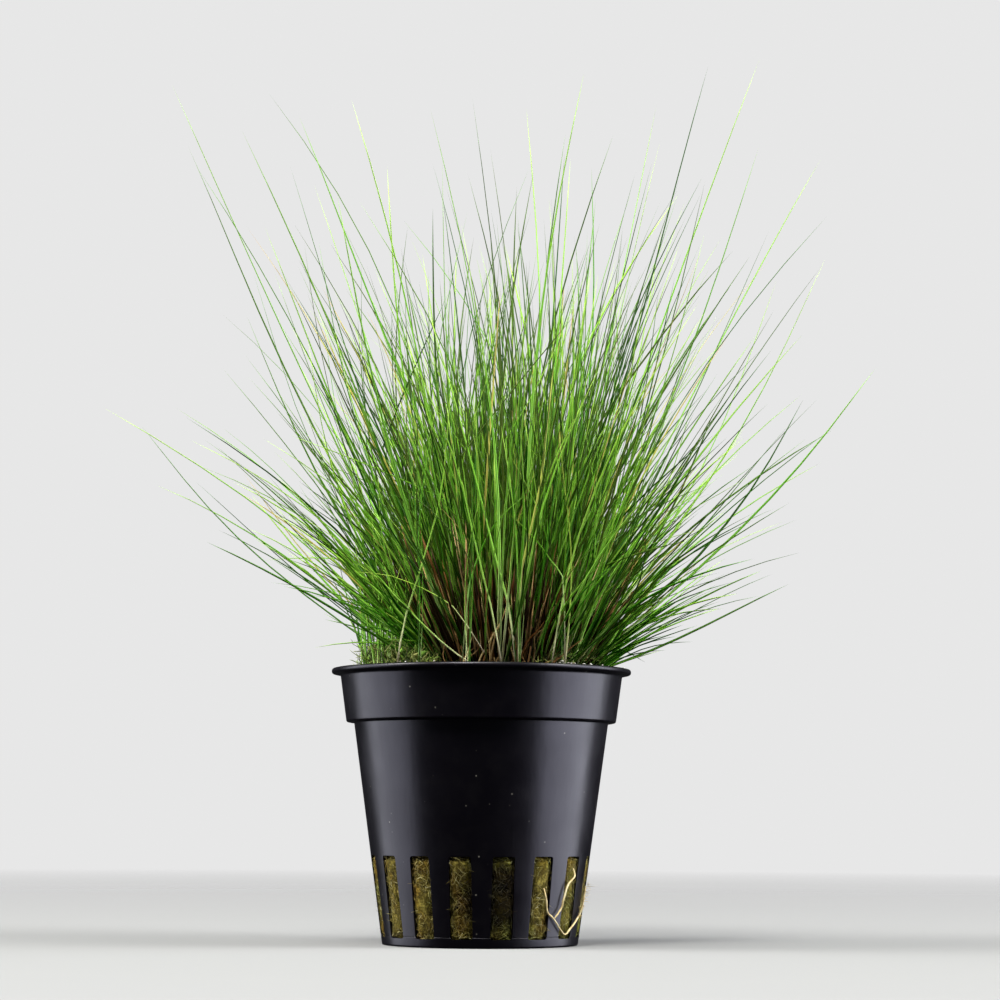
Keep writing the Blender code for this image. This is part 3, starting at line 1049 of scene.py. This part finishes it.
def blade(foot, tip, width, dry=0.0, husk=0.0, shade=1.0):
    """A blade whose random tone its shade pushes darker, as painted shade; straw doesn't kink"""
    line = arch(foot, tip, chance.uniform(*RISES))
    sway = np.array(sideways(SWAY)) * (tip - foot).length
    line += sway * np.sin(np.linspace(0, math.pi, BLADE_POINTS))[:, None]
    bent = kinked(line) if chance.random() < KINK_CHANCE else line
    return Strand(
        line if dry == 1.0 else bent, blade_widths(width), flatness=chance.uniform(*BLADE_FLATNESS),
        turn=any_turn(), twist=chance.uniform(-BLADE_TWIST, BLADE_TWIST),
        tone=chance.random() ** shade, dry=dry, husk=husk,
    )


# %% [markdown]
# ## The blades of every shoot
# The blades that the solids have keep their tips. The others are grown between them: each aims
# at a mix of two tips but stands a little more upright, so the tuft is dense in its middle and
# loose at its edge. Some go their own way across the rest. In the thick of the clump the blades
# are painted darker, as shade, while those at its edge, the ones on the solids' tips and those by
# the rim are painted lighter, as light. Two out of three in the clump have brown husks round their
# feet, painted near black as shade. At its front most blades are left out, so that the dark inside
# shows. The shoots by the rim are young, with few and thin blades.

# %% Helpers for shoots
FOOT_SPREAD = 2.4 * MM
LEADER_SPREAD = 0.8 * MM
LEADER_DRYNESS = 0.1
SINK = 0.9 * MM
WILD_CHANCE = 0.24
WILD_SPREAD = 0.32
TAME_SPREAD = 0.13
OPENING = (-4, 12, -4.5)
OPENING_SHARE = 0.14
LEANS = (0.1, 1.05, 0.5)
LENGTHS = (0.34, 1.0, 0.6)
STRAW_CHANCE = 0.035
STRAW_LOWEST = 0.6
GREEN_DRYNESS = 0.12
LOWEST = 0.3
# painted shade and light: powers for a blade's random tone, light at the clump's edge, dark in its
# middle
SHADES = (0.5, 2.2)
HUSKED_SHARE = 0.68


def flat_way(way):
    return Vector((way.x, way.y, 0))


def leaders(crown, tips, widths):
    """One blade for each tip of the solid"""
    return [
        blade(
            crown + flat_way(tip - crown).normalized() * LEADER_SPREAD - UP * SINK, tip,
            chance.uniform(*widths), chance.random() * LEADER_DRYNESS, shade=SHADES[0],
        )
        for tip in tips
    ]


def in_opening(foot):
    """True at the front of the clump, where the blades stand apart and show the dark inside"""
    left, right, back = OPENING
    return left < foot.x / MM < right and foot.y / MM < back


def grown_between(crown, tips, count, widths, husk, shade):
    """Blades that aim between the tips, each in its own measure; low ones are never straw"""
    strands = []
    for number in range(count):
        foot = crown + around(any_turn(), FOOT_SPREAD * math.sqrt(chance.random()))
        if in_opening(foot) and chance.random() > OPENING_SHARE:
            continue
        mix = chance.random()
        way = chance.choice(tips) * mix + chance.choice(tips) * (1 - mix) - crown
        length = way.length * chance.triangular(*LENGTHS)
        way -= flat_way(way) * (1 - chance.triangular(*LEANS))
        way = way.normalized()
        way += sideways(WILD_SPREAD if chance.random() < WILD_CHANCE else TAME_SPREAD)
        way.z = max(way.z, LOWEST)
        dry = 1.0 if chance.random() < STRAW_CHANCE else chance.random() * GREEN_DRYNESS
        if way.z < STRAW_LOWEST:
            dry = 0.0
        own_husk = husk if chance.random() < HUSKED_SHARE else 0.0
        strands.append(blade(
            foot - UP * SINK, held_inside(foot + way.normalized() * length),
            chance.uniform(*widths), dry, own_husk, shade,
        ))
    return strands


print("opening in mm:", OPENING)

# %% Grow the shoots
CLUMP_COUNTS = (54, 124)
RIM_COUNT = 12
CLUMP_WIDTHS = (0.24, 0.54)
LEADER_WIDTHS = (0.34, 0.52)
RIM_WIDTHS = (0.24, 0.4)
THIN_WIDTHS = (0.18, 0.3)
# painted shade: the husk is stronger towards the clump's middle
HUSKS = (0.75, 1.0)
HUSK_RISE = 4

grown = {}
for name, (crown, tips) in clump.items():
    nearness = 1 - (crown - clump_middle).length / clump_reach
    count = round(between(CLUMP_COUNTS, nearness))
    husk = between(HUSKS, min(1, HUSK_RISE * nearness))
    shade = between(SHADES, nearness)
    grown[name] = leaders(crown, tips, LEADER_WIDTHS)
    grown[name] += grown_between(crown, tips, count, CLUMP_WIDTHS, husk, shade)
for name, (crown, tips) in rim_shoots.items():
    in_front = abs(crown.x) < -crown.y
    grown[name] = leaders(crown, tips, THIN_WIDTHS if in_front else RIM_WIDTHS)
    if not in_front:
        grown[name] += grown_between(crown, tips, RIM_COUNT, RIM_WIDTHS, 0, SHADES[0])
print("blades:", sum(len(strands) for strands in grown.values()))

# %% [markdown]
# ## Blades that stand out
# Ten blades at the front catch the eye: long bright ones that lean across the others, a yellow one,
# and thin ones that cross low down. Chance wouldn't put them in their places, so each is drawn
# through a few points of its own and joins the shoot that stands nearest to its foot.

# %% Draw the blades that stand out
FRONT = -19.5
FORWARD = 0.2
STANDING_OUT = [
    # width, tone, dryness, and points across and up, in millimetres, from the foot to the tip
    (0.52, 0.97, 0.15, [(-14.9, 49), (-13.5, 57.6), (-9.7, 69.8), (-7.1, 79.7), (-6, 91), (-5.4, 99)]),
    (0.58, 0.95, 0.05, [(6.3, 48.5), (5, 59.6), (2.7, 67.8), (-1.1, 82.4), (-5.2, 97), (-10, 113)]),
    (0.5, 1.0, 0.1, [(3.8, 49), (2, 59), (-0.5, 68.6), (-3.9, 82.7), (-8.1, 94), (-14, 107)]),
    (0.34, 0.9, 0.0, [(14.9, 49), (14.5, 64.4), (12.7, 67.4), (10.5, 70.6), (7.7, 73.7), (5, 76)]),
    (0.42, 0.75, 0.0, [(-3.4, 49), (-2.2, 62.9), (-1, 67.3), (0.5, 71.1), (2.9, 75.1), (7.9, 79.7)]),
    (0.44, 1.0, 0.75, [(6.3, 49), (7, 65.4), (8.5, 72.4), (10.6, 82.8), (11.3, 90), (12.6, 102)]),
    (0.44, 0.95, 0.45, [(14.7, 49), (15.4, 55), (15.9, 64), (15.7, 72), (14.6, 81), (13.4, 92)]),
    (0.3, 0.95, 0.3, [(0.6, 52), (-4.5, 59.5), (-8.2, 62), (-11.2, 63.5), (-16.5, 65.4), (-23, 66)]),
    (0.34, 0.9, 0.1, [(-1.6, 50), (-6.4, 53.3), (-14, 60.5), (-19, 66), (-26, 72), (-33, 76)]),
    (0.44, 0.9, 0.2, [(12.4, 49), (13.8, 58), (16.4, 70), (21.5, 84), (28.6, 98), (38, 113)]),
]


def nearest_shoot(foot):
    return min(clump, key=lambda name: (clump[name][0] - foot).length)


for width, tone, dry, spots in STANDING_OUT:
    route = [Vector((x, FRONT - FORWARD * (z - POT_TOP), z)) * MM for x, z in spots]
    line = smooth_line(route, BLADE_POINTS)
    drawn = Strand(line, blade_widths(width), 0.7, any_turn(), 0.5, tone, dry)
    grown[nearest_shoot(route[0])].append(drawn)
print("drawn:", len(STANDING_OUT))

# %% Turn the blades of each shoot into a piece
blade_pieces = []
for name, strands in grown.items():
    piece = strand_mesh(name.replace("shoot", "blades"), strands, BLADE_SIDES)
    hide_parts(name)
    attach(piece, "root")
    blade_pieces.append(piece)
print("blade faces:", sum(len(piece.data.polygons) for piece in blade_pieces))

# %% [markdown]
# ## Green of the blades
# A blade is pale in its sheath, deep green in its middle and yellower towards the point, and no
# two blades have quite the same green. The numbers that each strand carries drive this: the way
# along it picks the colour, its tone makes it deeper or lighter, by chance and with painted shade
# and light, its dryness turns it to straw, and its husk covers the foot in dark brown, near black
# as painted shade. The sheen is tinted green, so that dark blades don't look grey.

# %% Finish of the blades
GRASS_SHEEN = (0.42, 1, 0.25)

grass, shader = new_material("grass_green", roughness=0.3, specular=0.38, sheen=GRASS_SHEEN)
along, tone, dryness, husk = [mark(shader, name) for name in ("along", "tone", "dry", "husk")]
length_colour = ramp(shader, along, [
    (0.0, (0.6, 0.56, 0.3)), (0.12, (0.6, 0.74, 0.3)), (0.3, (0.26, 0.58, 0.07)),
    (0.6, (0.13, 0.42, 0.02)), (1.0, (0.27, 0.5, 0.05)),
])
# painted shade and light: the tone, partly chance and partly the blade's place, picks a deep or a pale
# green
tone_and_shade_colour = ramp(shader, tone, [
    (0.0, (0.015, 0.09, 0.0)), (0.45, (0.03, 0.13, 0.01)), (0.7, (0.32, 0.52, 0.26)),
    (0.93, (1.6, 1.36, 1.9)),
])
green = mix_colours(shader, 1.0, length_colour, tone_and_shade_colour, "MULTIPLY")
straw = ramp(shader, along, [
    (0.0, (0.14, 0.05, 0.02)), (0.25, (0.5, 0.4, 0.1)), (0.7, (0.62, 0.56, 0.12)),
    (1.0, (0.35, 0.2, 0.08)),
])
bright = mix_colours(shader, dryness, green, straw)
# painted shade: the husk is brown to near black, darkest on dark-toned blades in the clump
husk_and_shade_colour = ramp(shader, tone, [
    (0.0, (0.005, 0.0025, 0.001)), (0.65, (0.018, 0.009, 0.003)), (1.0, (0.2, 0.11, 0.03)),
])
husk_fade = multiply(shader, husk, span(shader, along, 0.12, 0.32, 1, 0))
paint(shader, mix_colours(shader, husk_fade, bright, husk_and_shade_colour))
for piece in blade_pieces:
    piece.data.materials.append(grass)
print("blade finish:", grass.name)

# %% [markdown]
# ## Dead sheaths and stems
# Old blades die and stay in the clump as a thatch: dark brown sheaths up to three centimetres high,
# so that hardly any light gets down to the crowns. Most of them are painted near black, as shade.
# Some thin dead stems and curled roots hang in front of it, pale as straw. Both are strands again,
# short and stiff for the thatch, and drawn through points that wander for the stems.

# %% Thatch
SHEATH_COUNT = 1100
SHEATH_REACH = 0.92
CLUMP_MARGIN = 1.5 * MM
SHEATH_LEAN = 0.55
SHEATH_HEIGHTS = (8, 30, 16)
SHEATH_WIDTHS = (0.5, 1.1)
chance = random.Random(5)
thatch_radius = (clump_reach + CLUMP_MARGIN) * SHEATH_REACH


def sheath():
    """A dead sheath anywhere in the clump, leaning away from its middle"""
    foot = clump_middle + around(any_turn(), thatch_radius * math.sqrt(chance.random()))
    lean = flat_way(foot - clump_middle) / clump_reach * SHEATH_LEAN + sideways(0.12)
    height = chance.triangular(*SHEATH_HEIGHTS) * MM
    line = [foot + (UP + lean) * height * reach - UP * SINK for reach in np.linspace(0, 1, 5).tolist()]
    widths = chance.uniform(*SHEATH_WIDTHS) * MM * np.array([1, 0.95, 0.8, 0.55, 0.1])
    return Strand(line, widths, 0.4, any_turn(), 0.6, chance.random() ** 1.6)


thatch = [sheath() for number in range(SHEATH_COUNT)]
print("sheaths:", len(thatch))

# %% Dead stems and curled roots
STEM_COUNT = 22
STEM_HEIGHTS = (4, 15)
STEM_WIDTHS = (0.24, 0.42)
STEM_POINTS = 9
CURL_COUNT = 20
CURL_STEP = 0.8 * MM
CURL_WIDTHS = (0.12, 0.24)
CURL_POINTS = 10
DEAD_PLACES = ((-4, 12), (-18.5, -14.5), (48.5, 50))
HUSK_SHEEN = (1, 0.7, 0.35)


def wandering(start, heading, step, count, spread):
    """A line that keeps changing its heading a little"""
    line = [start]
    for number in range(count - 1):
        heading = (heading + sideways(spread)).normalized()
        line.append(line[-1] + heading * step)
    return line


def front_spot():
    """A point in front of the clump, at the height of the rim"""
    return Vector([chance.uniform(*reach) for reach in DEAD_PLACES]) * MM


def dead_stem():
    height = chance.uniform(*STEM_HEIGHTS) * MM
    heading = Vector((chance.gauss(0, 0.35), chance.gauss(0, 0.2), 1)).normalized()
    line = wandering(front_spot(), heading, height / (STEM_POINTS - 1), STEM_POINTS, 0.12)
    widths = chance.uniform(*STEM_WIDTHS) * MM * np.linspace(1, 0.5, STEM_POINTS)
    return Strand(line, widths, tone=chance.uniform(0.7, 1))


def curled_root():
    heading = Vector((chance.gauss(0, 1), chance.gauss(0, 0.4), chance.uniform(0, 1.2))).normalized()
    line = wandering(front_spot(), heading, CURL_STEP, CURL_POINTS, 0.38)
    widths = chance.uniform(*CURL_WIDTHS) * MM * np.linspace(1, 0.5, CURL_POINTS)
    return Strand(line, widths, tone=chance.uniform(0.4, 0.9))


thatch += [dead_stem() for number in range(STEM_COUNT)]
thatch += [curled_root() for number in range(CURL_COUNT)]
dead_sheaths = strand_mesh("dead_sheaths", thatch, 4)
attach(dead_sheaths, "root")

husk_brown_and_shade, shader = new_material("dead_husk_and_shade", roughness=0.6, specular=0.2, sheen=HUSK_SHEEN)
# painted shade: the near-black low end of the tone, which most sheaths get, stands for shade in the
# clump
paint(shader, ramp(shader, mark(shader, "tone"), [
    (0.0, (0.005, 0.002, 0.0005)), (0.5, (0.02, 0.007, 0.002)), (0.7, (0.12, 0.045, 0.01)),
    (0.85, (0.3, 0.17, 0.07)), (1.0, (0.6, 0.46, 0.22)),
]))
dead_sheaths.data.materials.append(husk_brown_and_shade)
print("thatch:", len(thatch), "strands,", len(dead_sheaths.data.polygons), "faces")

# %% [markdown]
# ## Moss and litter on the plug
# Between the clump and the rim the wool is overgrown: curly moss is heaped a little above the lip
# on the left and right, with small leaves of other plants in it, and pale grains of sand lie about,
# most of them on the right. The front stays almost bare. All are made with the same strands. A leaf
# is a wide, flat one, and a grain is a short, fat one, so that each needs only a few faces.

# %% Where moss and litter lie
MOSS_INNER = 14 * MM
MOSS_RISE = 5.0
BARE_SHARE = 0.12
WALL_CLEARANCE = 1.3
WALL_REACH = (COLLAR_TOP - WALL - WALL_CLEARANCE) * MM
LIP_CLEARANCE = 0.6


def sideness(spot):
    """0 right in front or behind, 1 at the left and right"""
    return abs(spot.x) / Vector(spot.xy).length


def rim_spot():
    """A random point on the plug outside the clump, raised where the moss is heaped at the sides"""
    while True:
        spot = around(any_turn(), chance.uniform(MOSS_INNER, plug_radius(PLUG_TOP) * MM))
        if is_bare(spot / MM) and chance.random() > BARE_SHARE:
            continue
        if (spot - flat_way(clump_middle)).length > clump_reach:
            return spot + UP * (PLUG_TOP + 0.2 + MOSS_RISE * sideness(spot) * chance.random()) * MM


def kept_in_pot(line):
    """Pulls points that lie outside the wall back into the pot, below the lip's top"""
    kept = []
    for point in line:
        over = Vector(point.xy).length / WALL_REACH
        if over > 1 and point.z < (POT_TOP + LIP_CLEARANCE) * MM:
            point = Vector((point.x / over, point.y / over, point.z))
        kept.append(point)
    return kept


print("moss from", round(MOSS_INNER / MM), "to", round(plug_radius(PLUG_TOP), 1), "mm")

# %% Moss, leaves and grains
MOSS_COUNT = 2200
MOSS_STEP = 0.95 * MM
MOSS_POINTS = 7
MOSS_WIDTHS = (0.16, 0.34)
LEAF_COUNT = 90
LEAF_WIDTHS = (0.6, 1.2)
GRAIN_COUNT = 130
GRAIN_SIDE = math.radians(38)
SIDE_SHARE = 0.6
LIP_SHARE = 0.2
LIP_GRAINS = (0.2, 0.42)
LIP_REACH = (LIP_RADIUS - 1.6, LIP_RADIUS - 0.5)
PLUG_GRAINS = (0.35, 0.8)
PLUG_REACH = (18, 23)


def moss():
    foot = rim_spot()
    heading = Vector((chance.gauss(0, 0.5), chance.gauss(0, 0.5), 1)).normalized()
    step = MOSS_STEP * (0.4 + 0.6 * sideness(foot)) * chance.uniform(0.5, 1.15)
    line = kept_in_pot(wandering(foot, heading, step, MOSS_POINTS, 0.42))
    widths = chance.uniform(*MOSS_WIDTHS) * MM * np.linspace(1, 0.45, MOSS_POINTS)
    return Strand(line, widths, 0.6, any_turn(), tone=chance.random() * 0.85)


def leaf():
    heading = Vector((chance.gauss(0, 0.8), chance.gauss(0, 0.8), 1)).normalized()
    foot = rim_spot()
    foot += UP * chance.uniform(0.5, 2.5) * sideness(foot) * MM
    line = kept_in_pot(wandering(foot, heading, chance.uniform(0.3, 0.6) * MM, 5, 0.15))
    widths = chance.uniform(*LEAF_WIDTHS) * MM * np.array([0.25, 0.9, 1, 0.6, 0.1])
    return Strand(line, widths, 0.14, any_turn(), tone=chance.uniform(0.8, 1))


def grain():
    """A grain on the lip or on the plug; one that would lie in the bare front is moved aside"""
    side = chance.gauss(GRAIN_SIDE, 0.5) if chance.random() < SIDE_SHARE else any_turn()
    on_lip = chance.random() < LIP_SHARE
    radius = chance.uniform(*(LIP_REACH if on_lip else PLUG_REACH))
    if is_bare(around(side, radius)):
        side = GRAIN_SIDE + abs(side)
    size = chance.uniform(*(LIP_GRAINS if on_lip else PLUG_GRAINS))
    height = POT_TOP + 0.3 * size if on_lip else chance.uniform(PLUG_TOP + 0.6, POT_TOP + 0.7)
    foot = around(side, radius * MM, height * MM)
    heading = Vector((chance.gauss(0, 1), chance.gauss(0, 1), 0)).normalized()
    line = [foot + heading * size * MM * reach for reach in (0, 0.3, 0.7, 1)]
    return Strand(line, size * MM * np.array([0.5, 0.9, 0.7, 0.1]), 0.8, 0.0, tone=chance.random())


moss_tufts = strand_mesh("moss", [moss() for number in range(MOSS_COUNT)], 3)
small_leaves = strand_mesh("small_leaves", [leaf() for number in range(LEAF_COUNT)], 5)
grains = strand_mesh("sand_grains", [grain() for number in range(GRAIN_COUNT)], 5)
litter = {moss_tufts: "grass_blades", small_leaves: "grass_blades", grains: "mineral_wool"}
for piece, slot in litter.items():
    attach(piece, "root")
    print(piece.name, len(piece.data.polygons), "faces")

# %% Finish of moss, leaves and grains
mossy, shader = new_material("moss_green", roughness=0.6, specular=0.3)
paint(shader, ramp(shader, mark(shader, "tone"), [
    (0.0, (0.02, 0.03, 0.006)), (0.3, (0.07, 0.11, 0.015)), (0.55, (0.18, 0.24, 0.04)),
    (0.8, (0.42, 0.42, 0.13)), (0.86, (0.16, 0.42, 0.03)), (1.0, (0.36, 0.66, 0.07)),
]))
moss_tufts.data.materials.append(mossy)
small_leaves.data.materials.append(mossy)
sand, shader = new_material("sand_grain", roughness=0.5, specular=0.5)
paint(shader, ramp(shader, mark(shader, "tone"), [
    (0.0, (0.25, 0.19, 0.12)), (0.4, (0.55, 0.5, 0.42)), (1.0, (0.88, 0.87, 0.85)),
]))
grains.data.materials.append(sand)
print("litter finishes:", mossy.name, sand.name)
